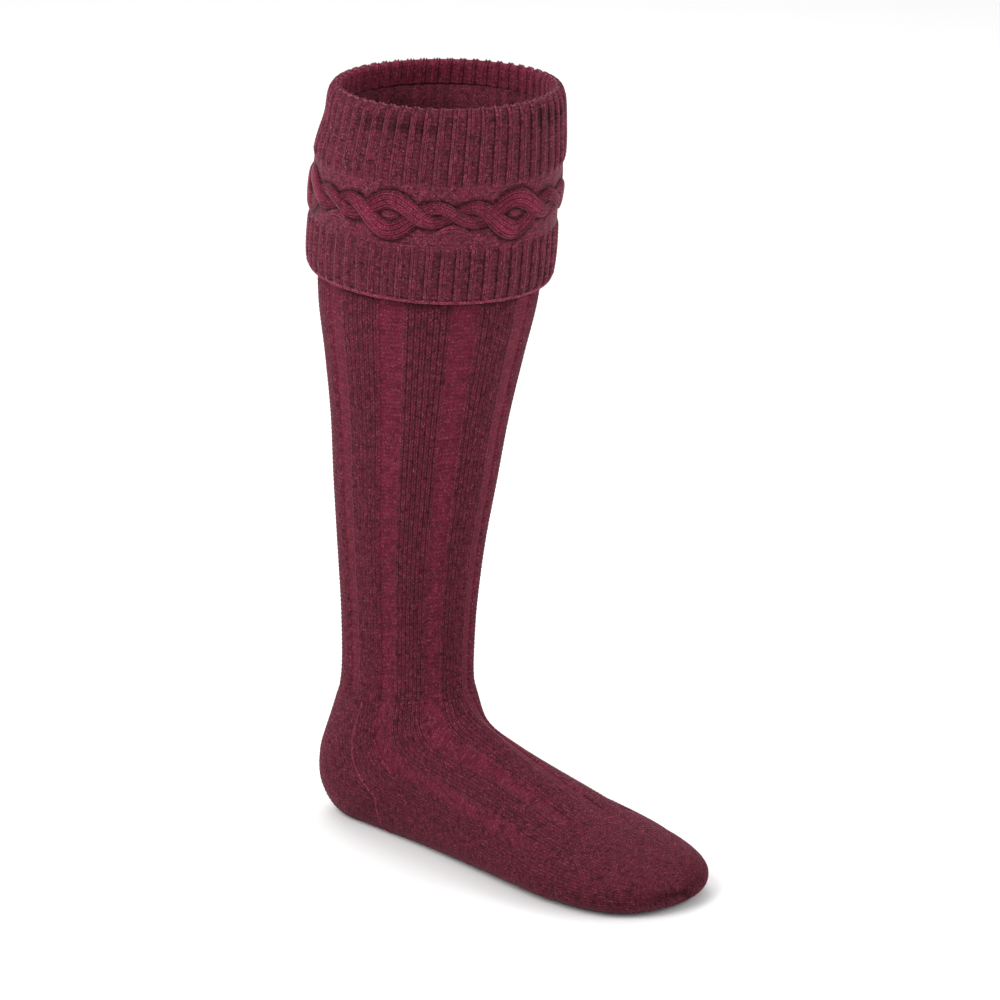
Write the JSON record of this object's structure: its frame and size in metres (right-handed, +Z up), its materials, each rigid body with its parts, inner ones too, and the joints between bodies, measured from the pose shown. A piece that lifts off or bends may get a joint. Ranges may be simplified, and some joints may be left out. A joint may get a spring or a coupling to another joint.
{
  "type": "kilt hose sock",
  "caption": "Knee-high knitted kilt hose sock in its worn shape, hollow, with a turned-down cabled cuff over a broadly ribbed leg.",
  "frame": {"origin": "inside of the sole under the ankle, where the wearer's foot stands", "axes": "+Z up the leg, -Y towards the toes, X across, with the sock the same on both sides of X = 0 apart from soft dents"},
  "size_m": [0.1374, 0.2768, 0.4395],
  "materials": {
    "cuff_knit": "burgundy heather wool in fine ribs with a band of crossed cables",
    "leg_knit": "burgundy heather wool in wide ribs",
    "foot_knit": "burgundy heather wool, plain knit"
  },
  "bodies": {
    "root": {"turnover_cuff": "cuff_knit", "leg": "leg_knit", "heel": "foot_knit", "foot": "foot_knit", "toe": "foot_knit"}
  },
  "joints": []
}
